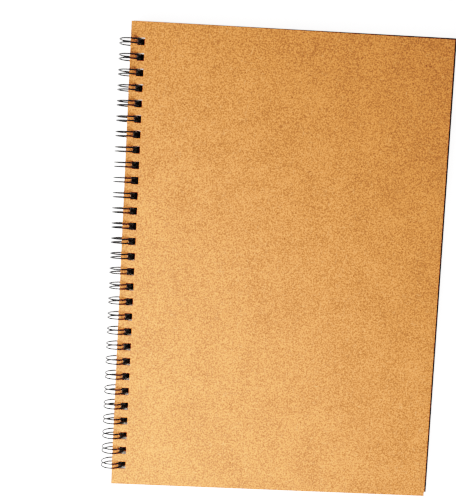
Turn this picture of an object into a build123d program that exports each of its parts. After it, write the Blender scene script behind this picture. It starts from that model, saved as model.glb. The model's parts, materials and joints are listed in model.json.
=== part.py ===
"""A sketchbook bound along one long side with twin-loop wire.

Frame: +X from the binding to the fore-edge, +Y along the binding to the head of the book,
+Z up from the table. The origin is on the table, under the middle of the whole book.

The book lies closed. Its wire loops are taller than the block of leaves, so the loops
and the back cover's fore-edge touch the table, and the leaves slope down very slightly
from the binding. Every leaf turns about the one axis that the loops share.
"""

import os
from math import asin, atan2, cos, degrees, floor, hypot, radians, sin, sqrt

from build123d import *
from build123d.topology import SkipClean

os.makedirs("parts", exist_ok=True)

# ---- Driving sizes, in millimetres --------------------------------------------------

# Leaves: two board covers with loose drawing sheets between them.
cover_width = 179.0
cover_length = 259.0
board_thickness = 0.7
sheet_count = 30
paper_thickness = 0.135
leaf_gap = 0.012            # air between one leaf and the next
cover_overhang = 1.0        # how far the covers pass the sheets on the three open sides

# Wire: one length, bent into twin loops that close round the leaves.
wire_diameter = 0.9
loop_outer_diameter = 12.7
loop_pitch = 25.4 / 3       # three loops to the inch
leg_spacing = 2.3           # between the centres of a loop's two wires
link_bend_radius = 1.0      # where a loop's wire turns into the straight link
stub_length = 1.2           # cut end of the wire past the first and the last loop

# Clearances.
end_margin_min = 8.0        # least distance from a leaf's end to the nearest loop's middle
hole_side_clearance = 0.5   # between a loop's wire and the hole's two sides
hole_front_clearance = 0.2  # between a loop and the strip of leaf that it holds
hole_back_clearance = 1.75  # free length of a hole beyond the loops
spine_offset = 0.3          # from the loops' axis to the leaves' spine edges
link_clearance = 0.12       # above and below the links, between last sheet and back cover
tip_clearance = 0.2         # between a loop's tip and the bends that it nests in
panel_margin = 1.0          # from the holes to where a cover's clear panel begins

# ---- Sizes that follow --------------------------------------------------------------

wire_radius = wire_diameter / 2
loop_radius = loop_outer_diameter / 2 - wire_radius     # to the wire's centre line
tip_radius = leg_spacing / 2

loop_count = 1 + floor((cover_length - 2 * end_margin_min) / loop_pitch)
loop_ys = [(i - (loop_count - 1) / 2) * loop_pitch for i in range(loop_count)]

# Heights of the leaves, measured square to them from the loops' axis.
page_pitch = paper_thickness + leaf_gap
link_slot = wire_diameter + 2 * link_clearance
half_stack = (2 * board_thickness + link_slot + sheet_count * page_pitch) / 2
back_cover_height = -half_stack
last_sheet_height = back_cover_height + board_thickness + link_slot
front_cover_height = half_stack - board_thickness

# Holes, measured along the leaves from the loops' axis.
hole_width = leg_spacing + wire_diameter + 2 * hole_side_clearance
inside_of_loop = sqrt((loop_radius - wire_radius) ** 2 - half_stack**2)
hole_start = inside_of_loop - hole_front_clearance
hole_end = loop_radius + wire_radius + hole_back_clearance
panel_start = hole_end + panel_margin
cover_end = spine_offset + cover_width
sheet_end = cover_end - cover_overhang

# Slopes: the back cover's fore-edge comes down to the table, and the sheets close
# the slot that the links keep open at the binding.
back_slope = degrees(
    asin(loop_outer_diameter / 2 / hypot(cover_end, half_stack)) - atan2(half_stack, cover_end)
)
page_slope = back_slope + degrees(asin((link_slot - leaf_gap) / cover_end))

# The loops' axis, placed so that the origin is under the middle of the book.
reach = cover_end * cos(radians(page_slope)) + half_stack * sin(radians(page_slope))
axis_x = (loop_outer_diameter / 2 - reach) / 2
axis_z = loop_outer_diameter / 2
loops_axis = Axis((axis_x, 0, axis_z), (0, -1, 0))

# Angles round the loops, from +X towards +Z. The links lie halfway up their slot.
link_height = (back_cover_height + board_thickness + last_sheet_height) / 2
link_angle = degrees(asin(link_height / hypot(loop_radius, link_bend_radius)))
link_angle = link_angle - (back_slope + page_slope) / 2
leg_end_angle = link_angle - degrees(atan2(link_bend_radius, loop_radius))
nest = sqrt(
    (link_bend_radius + tip_radius + wire_diameter + tip_clearance) ** 2
    - (link_bend_radius + tip_radius) ** 2
)
tip_angle = leg_end_angle + degrees(nest / loop_radius)


# ---- Places on the loops and in the stack of leaves ---------------------------------

def radial(angle):
    """Direction from the loops' axis out to the wire at an angle."""
    return Vector(cos(radians(angle)), 0, sin(radians(angle)))


def along(angle):
    """Direction along the loop at an angle, the way that a leaf opens."""
    return Vector(-sin(radians(angle)), 0, cos(radians(angle)))


def on_loop(angle, y):
    """Point on the wire's centre line."""
    return loops_axis.position + radial(angle) * loop_radius + Vector(0, y, 0)


def wire_section(angle, y):
    """Plane across a loop's wire."""
    return Plane(origin=on_loop(angle, y), x_dir=(0, 1, 0), z_dir=along(angle))


def leaf_plane(slope, height):
    """Plane of a leaf's under side, with X to the fore-edge and Y to the head."""
    tilt = radians(slope)
    through_axis = Plane(
        origin=loops_axis.position,
        x_dir=(cos(tilt), 0, -sin(tilt)),
        z_dir=(sin(tilt), 0, cos(tilt)),
    )
    return through_axis.offset(height)


def rectangle_between(start, end, length):
    """Rectangle from one distance to another along a leaf, centred on its length."""
    with Locations(((start + end) / 2, 0)):
        Rectangle(end - start, length)


def binding_holes():
    """Row of square holes that the loops pass through."""
    with Locations(((hole_start + hole_end) / 2, 0)):
        with GridLocations(loop_pitch, loop_pitch, 1, loop_count):
            Rectangle(hole_end - hole_start, hole_width, mode=Mode.SUBTRACT)


# ---- Covers: a punched binding strip and a clear panel, in one board ----------------

covers = []
for cover_name, cover_plane in [
    ("back_cover", leaf_plane(back_slope, back_cover_height)),
    ("front_cover", leaf_plane(page_slope, front_cover_height)),
]:
    with BuildPart() as cover:
        with BuildSketch(cover_plane):
            rectangle_between(spine_offset, panel_start, cover_length)
            binding_holes()
        extrude(amount=board_thickness)
        # The line between the strip and the panel stays on the cover as an edge.
        with SkipClean():
            with BuildSketch(cover_plane):
                rectangle_between(panel_start, cover_end, cover_length)
            extrude(amount=board_thickness, clean=False)
    cover.part.label = cover_name
    covers.append(cover.part)

# ---- Drawing sheets, numbered from the front ----------------------------------------

sheets = []
for number in range(1, sheet_count + 1):
    sheet_height = last_sheet_height + (sheet_count - number) * page_pitch
    with BuildPart() as sheet:
        with BuildSketch(leaf_plane(page_slope, sheet_height)):
            rectangle_between(spine_offset, sheet_end, cover_length - 2 * cover_overhang)
            binding_holes()
        extrude(amount=paper_thickness)
    sheet.part.label = f"sheet_{number:02d}"
    sheets.append(sheet.part)

# ---- Binding wire -------------------------------------------------------------------

# One twin loop: two legs round the leaves, joined by a round tip at one end and
# turned outwards into the links at the other.
with BuildPart() as loop:
    for side in (-1, 1):
        with BuildSketch(wire_section(tip_angle, side * tip_radius)):
            Circle(wire_radius)
        revolve(axis=loops_axis, revolution_arc=360 - (tip_angle - leg_end_angle))
    with BuildSketch(wire_section(tip_angle, -tip_radius)):
        Circle(wire_radius)
    revolve(axis=Axis(on_loop(tip_angle, 0), radial(tip_angle)), revolution_arc=180)
    for side in (-1, 1):
        bend_centre = on_loop(leg_end_angle, side * (tip_radius + link_bend_radius))
        with BuildSketch(wire_section(leg_end_angle, side * tip_radius)):
            Circle(wire_radius)
        revolve(axis=Axis(bend_centre, radial(leg_end_angle) * -side), revolution_arc=90)

# The links run straight from loop to loop, and each end of the wire is a cut stub.
link_start = tip_radius + link_bend_radius
link_centre = loops_axis.position + radial(link_angle) * hypot(loop_radius, link_bend_radius)
link_runs = [(loop_ys[0] - link_start - stub_length, loop_ys[0] - link_start)]
link_runs += [(a + link_start, b - link_start) for a, b in zip(loop_ys, loop_ys[1:])]
link_runs += [(loop_ys[-1] + link_start, loop_ys[-1] + link_start + stub_length)]

with BuildPart() as binding_wire:
    with Locations([(0, y, 0) for y in loop_ys]):
        add(loop.part)
    for run_start, run_end in link_runs:
        run_place = link_centre + Vector(0, run_start, 0)
        with BuildSketch(Plane(origin=run_place, x_dir=(1, 0, 0), z_dir=(0, 1, 0))):
            Circle(wire_radius)
        extrude(amount=run_end - run_start)

binding_wire.part.label = "binding_wire"

# ---- Files --------------------------------------------------------------------------

for piece in [binding_wire.part, *covers, *sheets]:
    export_step(piece, f"parts/{piece.label}.step")
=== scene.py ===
# %% [markdown]
# # A wire-bound sketchbook
#
# The book has two kraft board covers, a block of loose drawing sheets, and one length of
# black wire bent into twin loops that holds them together. This lesson dresses the plain
# model of the book: it softens the covers' edges, bends a smooth wire with Geometry Nodes,
# and gives each piece a material built from procedural textures.

# %% Load the plain model
import json
import math

import bmesh
import bpy
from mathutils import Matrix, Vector

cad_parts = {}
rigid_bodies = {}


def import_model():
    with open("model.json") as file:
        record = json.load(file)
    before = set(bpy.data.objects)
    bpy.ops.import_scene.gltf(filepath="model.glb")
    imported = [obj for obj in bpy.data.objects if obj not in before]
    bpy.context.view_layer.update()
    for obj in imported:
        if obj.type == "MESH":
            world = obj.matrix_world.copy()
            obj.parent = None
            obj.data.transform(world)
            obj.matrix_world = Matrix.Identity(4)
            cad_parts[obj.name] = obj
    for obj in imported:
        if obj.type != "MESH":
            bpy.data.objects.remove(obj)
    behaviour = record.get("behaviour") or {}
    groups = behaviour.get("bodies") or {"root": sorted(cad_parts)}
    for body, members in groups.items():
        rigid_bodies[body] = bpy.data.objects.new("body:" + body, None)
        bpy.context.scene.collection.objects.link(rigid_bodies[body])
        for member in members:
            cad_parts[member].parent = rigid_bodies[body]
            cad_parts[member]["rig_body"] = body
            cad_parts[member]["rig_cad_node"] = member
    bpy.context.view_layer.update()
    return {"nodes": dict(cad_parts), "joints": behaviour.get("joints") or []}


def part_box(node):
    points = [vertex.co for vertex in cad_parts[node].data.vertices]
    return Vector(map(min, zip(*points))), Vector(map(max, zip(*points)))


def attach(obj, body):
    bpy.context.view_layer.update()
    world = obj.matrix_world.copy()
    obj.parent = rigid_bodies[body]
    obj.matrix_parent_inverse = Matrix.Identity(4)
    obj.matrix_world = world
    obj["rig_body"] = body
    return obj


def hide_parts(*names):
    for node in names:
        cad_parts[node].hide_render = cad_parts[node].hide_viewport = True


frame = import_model()
nodes = frame["nodes"]
MM = 0.001

# %% [markdown]
# ## Measures
#
# The boards, the sheets and the wire's thickness and reach come from the plain model. Only
# the loops' pitch, spacing and bends are written again further down, and have to be changed
# by hand when the model's are. All leaves turn about one axis, the middle line of the loops,
# which is the place of the first hinge. The wire's thickness and the place of its straight
# links are read from its cut end, the ring of points at its far end along the binding.

# %% Measure the leaves and the wire
axis_x, _, axis_z = frame["joints"][0]["pos_m"]
sheet_names = sorted(name for name in nodes if name.startswith("sheet_"))
cover_names = ["back_cover", "front_cover"]

wire_low, wire_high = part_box("binding_wire")
wire_points = [v.co for v in nodes["binding_wire"].data.vertices]
end_ring = [p for p in wire_points if p.y > wire_high.y - 0.01 * MM]
link_x = sum(p.x for p in end_ring) / len(end_ring)
link_z = sum(p.z for p in end_ring) / len(end_ring)
wire_radius = (max(p.z for p in end_ring) - min(p.z for p in end_ring)) / 2
loop_radius = min(axis_x - wire_low.x, axis_z - wire_low.z) - wire_radius
print(f"wire {2000 * wire_radius:.2f} mm thick, loops {2000 * loop_radius:.2f} mm across")


def leaf_normal(name):
    """Direction square to a leaf, found from its largest face."""
    largest = max(nodes[name].data.polygons, key=lambda face: face.area)
    normal = largest.normal.copy()
    return normal if normal.z > 0 else -normal


# %% [markdown]
# ## A helper for shader trees
#
# A procedural material is a chain of small nodes. `Tree` adds a node, sets its inputs and
# links in one call, so that each material below reads from top to bottom as a recipe.
#
# Noise is built on a grid of cells and fades where a surface runs along the grid's planes.
# The covers slope by one degree only, and would show that as broad stripes. So the plain
# noises use coordinates that are tilted well away from every surface of the book.

# %% Helper for materials
NOISE_TILT = [math.radians(angle) for angle in (37, 24, 11)]


class Tree:
    """A new material and short ways to add nodes to it."""

    def __init__(self, name):
        self.material = bpy.data.materials.new(name)
        self.material.use_nodes = True
        self.nodes = self.material.node_tree.nodes
        self.links = self.material.node_tree.links
        self.nodes.clear()
        self.shader = self.add("ShaderNodeBsdfPrincipled")
        output = self.add("ShaderNodeOutputMaterial")
        self.links.new(self.shader.outputs["BSDF"], output.inputs["Surface"])
        self.coordinates = self.add("ShaderNodeTexCoord")
        self.place = self.coordinates.outputs["Object"]
        tilt = self.add(
            "ShaderNodeMapping",
            {"vector_type": "POINT"},
            {"Vector": self.place, "Rotation": NOISE_TILT},
        )
        self.tilted_place = tilt.outputs["Vector"]

    def add(self, kind, settings=None, inputs=None):
        """Add a node. An input's value is a number, a colour or another node's output."""
        node = self.nodes.new(kind)
        for name, value in (settings or {}).items():
            setattr(node, name, value)
        for name, value in (inputs or {}).items():
            if isinstance(value, bpy.types.NodeSocket):
                self.links.new(value, node.inputs[name])
            else:
                node.inputs[name].default_value = value
        return node

    def scaled_place(self, scale, turn=0.0):
        """Object coordinates, turned about Z in degrees and then stretched."""
        turned = self.add(
            "ShaderNodeMapping",
            {"vector_type": "POINT"},
            {"Vector": self.place, "Rotation": (0, 0, math.radians(turn))},
        )
        stretched = self.add(
            "ShaderNodeMapping",
            {"vector_type": "POINT"},
            {"Vector": turned.outputs["Vector"], "Scale": scale},
        )
        return stretched.outputs["Vector"]

    def noise(self, scale, detail=3.0, roughness=0.55, vector=None, distortion=0.0):
        """Soft random pattern from 0 to 1, with about `scale` waves in a metre."""
        node = self.add(
            "ShaderNodeTexNoise",
            None,
            {
                "Vector": vector or self.tilted_place,
                "Scale": scale,
                "Detail": detail,
                "Roughness": roughness,
                "Distortion": distortion,
            },
        )
        return node.outputs["Fac"]

    def ramp(self, value, low, high, to_low=0.0, to_high=1.0):
        """Stretch the part of a pattern between two values."""
        node = self.add(
            "ShaderNodeMapRange",
            {"interpolation_type": "SMOOTHSTEP"},
            {
                "Value": value,
                "From Min": low,
                "From Max": high,
                "To Min": to_low,
                "To Max": to_high,
            },
        )
        return node.outputs["Result"]

    def maths(self, operation, first, second=0.0):
        """One sum on two numbers or patterns."""
        node = self.add("ShaderNodeMath", {"operation": operation})
        for socket, value in zip(node.inputs, (first, second)):
            if isinstance(value, bpy.types.NodeSocket):
                self.links.new(value, socket)
            else:
                socket.default_value = value
        return node.outputs["Value"]

    def mix(self, share, first, second, blend="MIX"):
        """Blend two colours by a share from 0 to 1."""
        node = self.add("ShaderNodeMix", {"data_type": "RGBA", "blend_type": blend})
        sockets = [s for s in node.inputs if s.enabled]
        for socket, value in zip(sockets, (share, first, second)):
            if isinstance(value, bpy.types.NodeSocket):
                self.links.new(value, socket)
            else:
                socket.default_value = value
        return next(s for s in node.outputs if s.enabled)

    def bump(self, height, strength, distance, below=None):
        """Small relief in the surface, `distance` metres deep at most."""
        inputs = {"Height": height, "Strength": strength, "Distance": distance}
        if below is not None:
            inputs["Normal"] = below
        return self.add("ShaderNodeBump", None, inputs).outputs["Normal"]

    def finish(self, color, roughness, normal=None):
        """Connect the recipe's results to the shader."""
        for name, value in (("Base Color", color), ("Roughness", roughness), ("Normal", normal)):
            if isinstance(value, bpy.types.NodeSocket):
                self.links.new(value, self.shader.inputs[name])
            elif value is not None:
                self.shader.inputs[name].default_value = value
        return self.material


# %% [markdown]
# ## Kraft board
#
# Kraft board is unbleached wood pulp. From a distance it is an even tan. Close up it is a
# felt of short fibres that lie in every direction, with a few pale fibres, some dark flecks
# of bark, and soft clouds where the pulp was thicker. An image would have to be very large
# to show that on a whole cover. Noise textures cost nothing and never repeat: plain noise
# for clouds, and noise stretched thirteen times in one direction for fibres.

# %% Kraft board, its face and its cut edge
KRAFT_DEEP = (0.310, 0.110, 0.034, 1)
KRAFT_LIGHT = (0.806, 0.284, 0.087, 1)
PALE_FIBRE = (0.880, 0.400, 0.160, 1)
BARK_FLECK = (0.170, 0.060, 0.018, 1)
FIBRE_TURNS = (12, 57, 101, 149)
FIBRE_WAVES = (260, 3400, 900)
CLOUD_WAVES = 60
PULP_WAVES = 1450
GRAIN_WAVES = 2600
FLECK_WAVES = 420
CLOUD_SHARE = 0.14
CUT_EDGE_TINT = 1.25


def fibres(tree, turn, low, high):
    """Thin short streaks in one direction, as a mask from 0 to 1."""
    streaks = tree.noise(1.0, 2.0, 0.5, tree.scaled_place(FIBRE_WAVES, turn), 0.35)
    patches = tree.noise(420, 2.0, 0.5, tree.scaled_place((1, 1, 1), turn))
    return tree.maths("MULTIPLY", tree.ramp(streaks, low, high), tree.ramp(patches, 0.42, 0.62))


def kraft_board(name, tint=1.0):
    """Unbleached board. A tint above 1 makes it paler, as where it is cut."""
    tree = Tree(name)
    clouds = tree.noise(CLOUD_WAVES, 4.0, 0.6)
    pulp = tree.noise(PULP_WAVES, 2.0, 0.5)
    grain = tree.noise(GRAIN_WAVES, 3.0, 0.6)
    cloud_part = tree.maths("MULTIPLY", clouds, CLOUD_SHARE)
    pulp_part = tree.maths("MULTIPLY", pulp, 1 - CLOUD_SHARE)
    tone = tree.maths("ADD", cloud_part, pulp_part)
    color = tree.mix(tree.ramp(tone, 0.38, 0.62), KRAFT_DEEP, KRAFT_LIGHT)
    color = tree.mix(tree.ramp(grain, 0.35, 0.7, 0.0, 0.14), color, PALE_FIBRE)
    relief = pulp
    for number, turn in enumerate(FIBRE_TURNS):
        streak = fibres(tree, turn, 0.60, 0.72)
        kind = PALE_FIBRE if number % 2 == 0 else KRAFT_DEEP
        color = tree.mix(tree.maths("MULTIPLY", streak, 0.55), color, kind)
        relief = tree.maths("ADD", relief, tree.maths("MULTIPLY", streak, 0.5))
    flecks = tree.add(
        "ShaderNodeTexVoronoi",
        {"feature": "F1"},
        {"Vector": tree.place, "Scale": FLECK_WAVES},
    )
    small = tree.ramp(flecks.outputs["Distance"], 0.10, 0.20, 1.0, 0.0)
    chosen = tree.ramp(flecks.outputs["Color"], 0.80, 0.86)
    color = tree.mix(tree.maths("MULTIPLY", small, chosen), color, BARK_FLECK)
    if tint != 1.0:
        color = tree.mix(1.0, color, (tint, tint, tint, 1), "MULTIPLY")
    normal = tree.bump(relief, 0.35, 0.05 * MM)
    normal = tree.bump(grain, 0.25, 0.02 * MM, normal)
    rough = tree.ramp(pulp, 0.3, 0.7, 0.62, 0.78)
    tree.shader.inputs["Specular IOR Level"].default_value = 0.25
    return tree.finish(color, rough, normal)


kraft_face = kraft_board("kraft_board_face")
kraft_edge = kraft_board("kraft_board_cut_edge", CUT_EDGE_TINT)

# %% [markdown]
# ## Drawing paper
#
# The sheets are a warm white with a slight tooth that holds pencil. On the edge of the block
# each sheet shows as a hair line, a little lighter or darker than the next. The lines are
# noise squeezed flat along Z, and a mask from the surface's own direction keeps them off the
# pages themselves.

# %% Paper
PAPER = (0.89, 0.875, 0.83, 1)
PAPER_SHADE = (0.78, 0.755, 0.69, 1)
EDGE_LINE_WAVES = (24, 24, 9000)


def drawing_paper():
    """Uncoated drawing paper."""
    tree = Tree("drawing_paper")
    tooth = tree.noise(3200, 4.0, 0.65)
    clouds = tree.noise(160, 4.0, 0.6)
    color = tree.mix(tree.ramp(clouds, 0.3, 0.7, 0.0, 0.22), PAPER, PAPER_SHADE)
    direction = tree.coordinates.outputs["Normal"]
    parts = tree.add("ShaderNodeSeparateXYZ", None, {"Vector": direction})
    facing_up = tree.maths("ABSOLUTE", parts.outputs["Z"])
    on_the_edge = tree.ramp(facing_up, 0.3, 0.6, 1.0, 0.0)
    lines = tree.noise(1.0, 2.0, 0.6, tree.scaled_place(EDGE_LINE_WAVES))
    shade = tree.maths("MULTIPLY", on_the_edge, tree.ramp(lines, 0.35, 0.65, 0.0, 0.45))
    color = tree.mix(shade, color, PAPER_SHADE)
    normal = tree.bump(tooth, 0.3, 0.03 * MM)
    tree.shader.inputs["Specular IOR Level"].default_value = 0.3
    return tree.finish(color, 0.85, normal)


paper = drawing_paper()
for name in sheet_names:
    nodes[name].data.materials.clear()
    nodes[name].data.materials.append(paper)
print("sheets in paper:", len(sheet_names))

# %% [markdown]
# ## Covers
#
# The plain boards have knife-sharp edges. A real board is cut with a blade that rounds the
# upper edge a little, and it is that small round that catches the light. The plain mesh is
# loose triangles, so a copy is merged and cleaned first. Then a bevel about a tenth of a
# millimetre wide runs round the outline and round each punched hole.

# %% Softened copies of the boards
EDGE_ROUND = 0.09 * MM
FLAT_ENOUGH = math.radians(1)
SHARP = math.radians(40)


def softened_board(node_name):
    """Copy of a plain board with rounded edges and a paler cut edge."""
    board = nodes[node_name].copy()
    board.data = nodes[node_name].data.copy()
    board.name = f"{node_name}_board"
    board.parent = None
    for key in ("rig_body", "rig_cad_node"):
        if key in board:
            del board[key]
    bpy.context.scene.collection.objects.link(board)
    shape = bmesh.new()
    shape.from_mesh(board.data)
    bmesh.ops.remove_doubles(shape, verts=shape.verts, dist=0.001 * MM)
    bmesh.ops.dissolve_limit(
        shape, angle_limit=FLAT_ENOUGH, verts=shape.verts, edges=shape.edges
    )
    sharp = [e for e in shape.edges if len(e.link_faces) == 2 and e.calc_face_angle() > SHARP]
    bmesh.ops.bevel(
        shape,
        geom=sharp,
        offset=EDGE_ROUND,
        offset_type="OFFSET",
        segments=2,
        profile=0.5,
        affect="EDGES",
        clamp_overlap=True,
    )
    up = leaf_normal(node_name)
    for face in shape.faces:
        face.material_index = 1 if abs(face.normal.dot(up)) < 0.3 else 0
        face.smooth = False
    shape.to_mesh(board.data)
    shape.free()
    board.data.materials.clear()
    board.data.materials.append(kraft_face)
    board.data.materials.append(kraft_edge)
    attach(board, node_name)
    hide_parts(node_name)
    return board


for name in cover_names:
    board = softened_board(name)
    print(board.name, "faces:", len(board.data.polygons))

# %% [markdown]
# ## Black coated wire
#
# The wire is steel with a thin black nylon coat. The coat is smooth and a little glossy, so
# that each loop carries a small bright glint, and it is rubbed slightly uneven where the
# leaves slide on it.

# %% Wire coat
WIRE_BLACK = (0.004, 0.004, 0.005, 1)
WIRE_RUBBED = (0.012, 0.011, 0.011, 1)


def wire_coat():
    """Smooth black nylon on steel wire."""
    tree = Tree("black_wire_coat")
    rubbed = tree.noise(600, 4.0, 0.6)
    color = tree.mix(tree.ramp(rubbed, 0.5, 0.75), WIRE_BLACK, WIRE_RUBBED)
    rough = tree.ramp(rubbed, 0.3, 0.75, 0.26, 0.40)
    normal = tree.bump(tree.noise(2500, 3.0), 0.12, 0.01 * MM)
    tree.shader.inputs["Specular IOR Level"].default_value = 0.32
    return tree.finish(color, rough, normal)


coat = wire_coat()

# %% [markdown]
# ## One twin loop, as a line
#
# The binding is one wire. It comes along a straight link, turns into a loop, goes all the way
# round the leaves, turns back in a small half circle, the tip, and returns beside itself to
# the next link. When the book is closed up, each tip nests between the two bends of its own
# loop. The line of one loop is made from five arcs and two half links.
#
# `arc` places points by angle, so a round stretch is always a true round.

# %% The line of one loop
LOOP_PITCH = 25.4 / 3 * MM
LEG_SPACING = 2.3 * MM
BEND_RADIUS = 1.0 * MM
TIP_GAP = 0.2 * MM
WIRE_SIDES = 14
MERGE_GAP = 0.01 * MM
ARC_STEP = math.radians(6)
BEND_STEP = math.radians(15)

tip_radius = LEG_SPACING / 2
link_angle = math.atan2(link_z - axis_z, link_x - axis_x)
leg_end_angle = link_angle - math.atan2(BEND_RADIUS, loop_radius)
reach = BEND_RADIUS + tip_radius
nest = math.sqrt((reach + 2 * wire_radius + TIP_GAP) ** 2 - reach**2)
tip_angle = leg_end_angle + nest / loop_radius


def radial(angle):
    """Direction out from the loops' axis."""
    return Vector((math.cos(angle), 0, math.sin(angle)))


def along(angle):
    """Direction along the loop."""
    return Vector((-math.sin(angle), 0, math.cos(angle)))


def arc(centre, first_axis, second_axis, radius, start, end, step):
    """Points of an arc, in the plane of two axes."""
    count = max(2, math.ceil(abs(end - start) / step))
    angles = [start + (end - start) * i / count for i in range(count + 1)]
    return [
        centre + first_axis * (radius * math.cos(a)) + second_axis * (radius * math.sin(a))
        for a in angles
    ]


def twin_loop_line():
    """Points of one loop, from the middle of one link to the middle of the next."""
    axis_point = Vector((axis_x, 0, axis_z))
    side_way = Vector((0, 1, 0))
    right, up = Vector((1, 0, 0)), Vector((0, 0, 1))
    bend_place = axis_point + radial(leg_end_angle) * loop_radius
    tip_place = axis_point + radial(tip_angle) * loop_radius
    ahead = along(leg_end_angle)
    link_place = bend_place + ahead * BEND_RADIUS
    quarter = math.pi / 2
    turn = 2 * math.pi + leg_end_angle
    low = bend_place - side_way * reach
    high = bend_place + side_way * reach
    low_leg = axis_point - side_way * tip_radius
    high_leg = axis_point + side_way * tip_radius
    line = [link_place - side_way * (LOOP_PITCH / 2)]
    line += arc(low, side_way, ahead, BEND_RADIUS, quarter, 0, BEND_STEP)
    line += arc(low_leg, right, up, loop_radius, turn, tip_angle, ARC_STEP)[1:]
    line += arc(tip_place, side_way, -along(tip_angle), tip_radius, 2 * quarter, 0, BEND_STEP)[1:]
    line += arc(high_leg, right, up, loop_radius, tip_angle, turn, ARC_STEP)[1:]
    line += arc(high, side_way, ahead, BEND_RADIUS, 2 * quarter, quarter, BEND_STEP)[1:]
    line.append(link_place + side_way * (LOOP_PITCH / 2))
    return line


loop_line = twin_loop_line()
straight_length = wire_high.y - wire_low.y
loop_count = 1 + math.floor((straight_length - 2 * reach) / LOOP_PITCH)
stub_trim = (loop_count * LOOP_PITCH - straight_length) / 2
print("loops:", loop_count, "points in one:", len(loop_line), "trim mm:", round(stub_trim / MM, 3))

# %% [markdown]
# ## The whole wire, with Geometry Nodes
#
# Twenty-nine loops could be modelled by hand, or with an array. Geometry Nodes do more: the
# tree sets the loop's line out along the binding, merges the point where one loop ends with
# the point where the next begins, and so gets one long thread. It cuts the two end links to
# stubs and gives the thread its round section. Because it is a single curve, the wire has no
# seams between the loops.

# %% Geometry Nodes tree for the wire
def node_group_for_wire():
    """Tree that turns one loop's points into the whole bound wire."""
    group = bpy.data.node_groups.new("twin_loop_wire", "GeometryNodeTree")
    face = group.interface
    face.new_socket("Loop Points", in_out="INPUT", socket_type="NodeSocketGeometry")
    for name, kind in (
        ("Loops", "NodeSocketInt"),
        ("Pitch", "NodeSocketFloat"),
        ("Wire Radius", "NodeSocketFloat"),
        ("Sides", "NodeSocketInt"),
        ("End Trim", "NodeSocketFloat"),
        ("Coat", "NodeSocketMaterial"),
    ):
        face.new_socket(name, in_out="INPUT", socket_type=kind)
    face.new_socket("Wire", in_out="OUTPUT", socket_type="NodeSocketGeometry")

    def add(kind, settings=None, **inputs):
        node = group.nodes.new(kind)
        for name, value in (settings or {}).items():
            setattr(node, name, value)
        for name, value in inputs.items():
            socket = node.inputs[name.replace("_", " ")]
            if isinstance(value, bpy.types.NodeSocket):
                group.links.new(value, socket)
            else:
                socket.default_value = value
        return node

    def maths(operation, first, second):
        node = group.nodes.new("ShaderNodeMath")
        node.operation = operation
        for socket, value in zip(node.inputs, (first, second)):
            if isinstance(value, bpy.types.NodeSocket):
                group.links.new(value, socket)
            else:
                socket.default_value = value
        return node.outputs["Value"]

    given = group.nodes.new("NodeGroupInput").outputs
    steps_between = maths("SUBTRACT", given["Loops"], 1)
    first_place = maths("MULTIPLY", maths("MULTIPLY", steps_between, given["Pitch"]), -0.5)
    start = add("ShaderNodeCombineXYZ", Y=first_place)
    step = add("ShaderNodeCombineXYZ", Y=given["Pitch"])
    places = add(
        "GeometryNodeMeshLine",
        {"mode": "OFFSET"},
        Count=given["Loops"],
        Start_Location=start.outputs["Vector"],
        Offset=step.outputs["Vector"],
    )
    copies = add(
        "GeometryNodeInstanceOnPoints",
        Points=places.outputs["Mesh"],
        Instance=given["Loop Points"],
    )
    all_points = add("GeometryNodeRealizeInstances", Geometry=copies.outputs["Instances"])
    joined = add(
        "GeometryNodeMergeByDistance",
        Geometry=all_points.outputs["Geometry"],
        Distance=MERGE_GAP,
    )
    thread = add("GeometryNodeMeshToCurve", Mesh=joined.outputs["Geometry"])
    length = add("GeometryNodeCurveLength", Curve=thread.outputs["Curve"])
    trimmed = add("GeometryNodeTrimCurve", {"mode": "LENGTH"})
    group.links.new(thread.outputs["Curve"], trimmed.inputs["Curve"])
    trim_start, trim_end = [s for s in trimmed.inputs if s.enabled and s.name in ("Start", "End")]
    group.links.new(given["End Trim"], trim_start)
    group.links.new(maths("SUBTRACT", length.outputs["Length"], given["End Trim"]), trim_end)
    section = add(
        "GeometryNodeCurvePrimitiveCircle",
        Resolution=given["Sides"],
        Radius=given["Wire Radius"],
    )
    tube = add(
        "GeometryNodeCurveToMesh",
        Curve=trimmed.outputs["Curve"],
        Profile_Curve=section.outputs["Curve"],
        Fill_Caps=True,
    )
    smooth = add("GeometryNodeSetShadeSmooth", Geometry=tube.outputs["Mesh"])
    whole = add("GeometryNodeRealizeInstances", Geometry=smooth.outputs["Geometry"])
    coated = add(
        "GeometryNodeSetMaterial",
        Geometry=whole.outputs["Geometry"],
        Material=given["Coat"],
    )
    output = group.nodes.new("NodeGroupOutput")
    group.links.new(coated.outputs["Geometry"], output.inputs["Wire"])
    return group


# %% Bend the wire
def plain_mesh_from(maker, name):
    """Mesh object made from the evaluated maker, which is then removed."""
    bpy.context.view_layer.update()
    evaluated = maker.evaluated_get(bpy.context.evaluated_depsgraph_get())
    mesh = bpy.data.meshes.new_from_object(evaluated)
    made = bpy.data.objects.new(name, mesh)
    bpy.context.scene.collection.objects.link(made)
    bpy.data.objects.remove(maker)
    return made


def bound_wire():
    """The whole wire as one tube."""
    line_mesh = bpy.data.meshes.new("loop_line")
    line_mesh.from_pydata(loop_line, [(i, i + 1) for i in range(len(loop_line) - 1)], [])
    maker = bpy.data.objects.new("wire_maker", line_mesh)
    bpy.context.scene.collection.objects.link(maker)
    group = node_group_for_wire()
    modifier = maker.modifiers.new("wire", "NODES")
    modifier.node_group = group
    values = {
        "Loops": loop_count,
        "Pitch": LOOP_PITCH,
        "Wire Radius": wire_radius,
        "Sides": WIRE_SIDES,
        "End Trim": stub_trim,
        "Coat": coat,
    }
    for item in group.interface.items_tree:
        if item.name in values:
            modifier[item.identifier] = values[item.name]
    return plain_mesh_from(maker, "bound_wire")


wire = bound_wire()
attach(wire, "binding_wire")
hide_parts("binding_wire")
print("wire faces:", len(wire.data.polygons))

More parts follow.
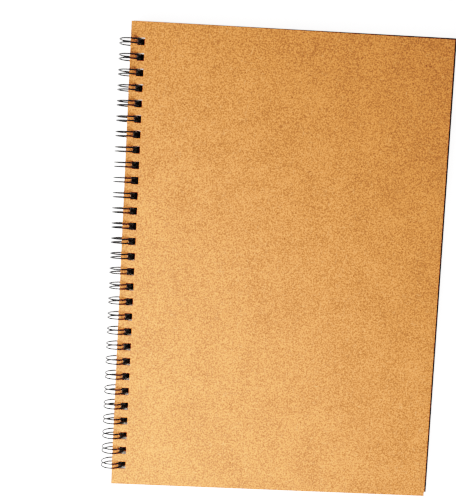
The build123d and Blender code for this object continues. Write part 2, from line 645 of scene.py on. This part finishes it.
# %% [markdown]
# ## Table, light and camera
#
# The book lies on a white table that glows as if lit from below, as in a product studio; the glow
# is painted light. The table glows everywhere except under the book, where it is painted dark,
# so that no light leaks up through the punched holes. The painted dark patch is a few millimetres
# wider at the fore-edge and the head: those sides face away from the light, and the patch paints
# their thin line of shadow. The mask is the distance from the patch's outline, measured on the
# table's own coordinates.

# %% Table
SHADOW_WIDTHS = (2.9 * MM, 2.2 * MM)
SHADOW_EDGE = 0.5 * MM
TABLE_HALF = 10
TABLE_WHITE = (0.91, 0.91, 0.90, 1)
# Painted shadow: the colour of the table under the book and in the thin band beside it.
TABLE_PAINTED_SHADOW = (0.03, 0.025, 0.02, 1)
TABLE_GLOW = 1.5


def table():
    """White table top that glows away from the book, with painted shade under and beside it."""
    mesh = bpy.data.meshes.new("table")
    corners = [(x * TABLE_HALF, y * TABLE_HALF, 0) for x, y in ((-1, -1), (1, -1), (1, 1), (-1, 1))]
    mesh.from_pydata(corners, [], [(0, 1, 2, 3)])
    top = bpy.data.objects.new("table", mesh)
    bpy.context.scene.collection.objects.link(top)
    tree = Tree("table_glow_and_painted_shadow")
    place = tree.add("ShaderNodeSeparateXYZ", None, {"Vector": tree.place})
    beyond = []
    for letter, low, high, wider in zip("XY", *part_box("back_cover"), SHADOW_WIDTHS):
        high += wider
        offset = tree.maths("SUBTRACT", place.outputs[letter], (low + high) / 2)
        apart = tree.maths("ABSOLUTE", offset)
        beyond.append(tree.maths("SUBTRACT", apart, (high - low) / 2))
    furthest = tree.maths("MAXIMUM", *beyond)
    outside = tree.ramp(furthest, -SHADOW_EDGE, 0.0)
    # Painted light and shade: the table glows outside the patch, and is painted nearly black inside
    # it.
    glow = tree.maths("MULTIPLY", outside, TABLE_GLOW)
    color = tree.mix(outside, TABLE_PAINTED_SHADOW, TABLE_WHITE)
    tree.shader.inputs["Emission Color"].default_value = (1.0, 1.0, 1.0, 1)
    tree.links.new(glow, tree.shader.inputs["Emission Strength"])
    top.data.materials.append(tree.finish(color, 0.7))


table()

# %% [markdown]
# One soft light hangs over the foot of the book, on the binding's side. It comes from nearly
# overhead, so the wires hide their own shadows, and the paper inside the holes is lit. Light
# gets weaker with distance, so the cover is brightest in the near corner and deepens towards
# the far one. A dim white room fills the shadows.

# %% Light
KEY_PLACE = (-0.17, -0.15, 0.31)
KEY_SIZE = (0.6, 0.24)
KEY_WATTS = 4.2
KEY_COLOR = (1.0, 0.99, 0.985)
ROOM_COLOR = (1.0, 0.995, 0.985, 1)
ROOM_STRENGTH = 0.24


def soft_light(name, place, target, size, watts, color):
    """Soft light that faces a point. Its size is its level length and its height."""
    data = bpy.data.lights.new(name, "AREA")
    data.shape = "RECTANGLE"
    data.size, data.size_y = size
    data.energy = watts
    data.color = color
    lamp = bpy.data.objects.new(name, data)
    lamp.location = place
    lamp.visible_camera = False
    lamp.rotation_euler = (Vector(target) - Vector(place)).to_track_quat("-Z", "Y").to_euler()
    bpy.context.scene.collection.objects.link(lamp)


soft_light("key_light", KEY_PLACE, (0, 0, 0), KEY_SIZE, KEY_WATTS, KEY_COLOR)

world = bpy.data.worlds.new("white_room")
world.use_nodes = True
background = world.node_tree.nodes["Background"]
background.inputs["Color"].default_value = ROOM_COLOR
background.inputs["Strength"].default_value = ROOM_STRENGTH
bpy.context.scene.world = world

# %% [markdown]
# A camera does not record light in a straight line: it deepens the shades and eases the
# brightest tones gently into white. The curve below does the same. It runs from black to
# well over white, and each point gives the light that comes in and the tone that is kept.

# %% Tone curve
WHITE_LEVEL = 2.4
TONES = ((0.085, 0.050), (0.170, 0.150), (0.40, 0.380), (0.70, 0.60), (1.20, 0.82), (1.70, 0.93))

view = bpy.context.scene.view_settings
view.view_transform = "Standard"
view.use_curve_mapping = True
mapping = view.curve_mapping
mapping.white_level = [WHITE_LEVEL] * 3
for light_in, tone_kept in TONES:
    mapping.curves[3].points.new(light_in / WHITE_LEVEL, tone_kept)
mapping.update()

# %% [markdown]
# The camera looks nearly straight down from half a metre, with the binding to the left.

# %% Camera
camera_data = bpy.data.cameras.new("camera")
camera_data.sensor_width = 36
camera_data.lens = 59.62
camera_data.shift_x = -0.0138
camera_data.shift_y = -0.0324
camera_data.clip_start = 0.01
camera = bpy.data.objects.new("camera", camera_data)
camera.location = (-0.0293, 0.0449, 0.4693)
camera.rotation_euler = [math.radians(angle) for angle in (-3.662, -0.537, 3.038)]
bpy.context.scene.collection.objects.link(camera)
bpy.context.scene.camera = camera
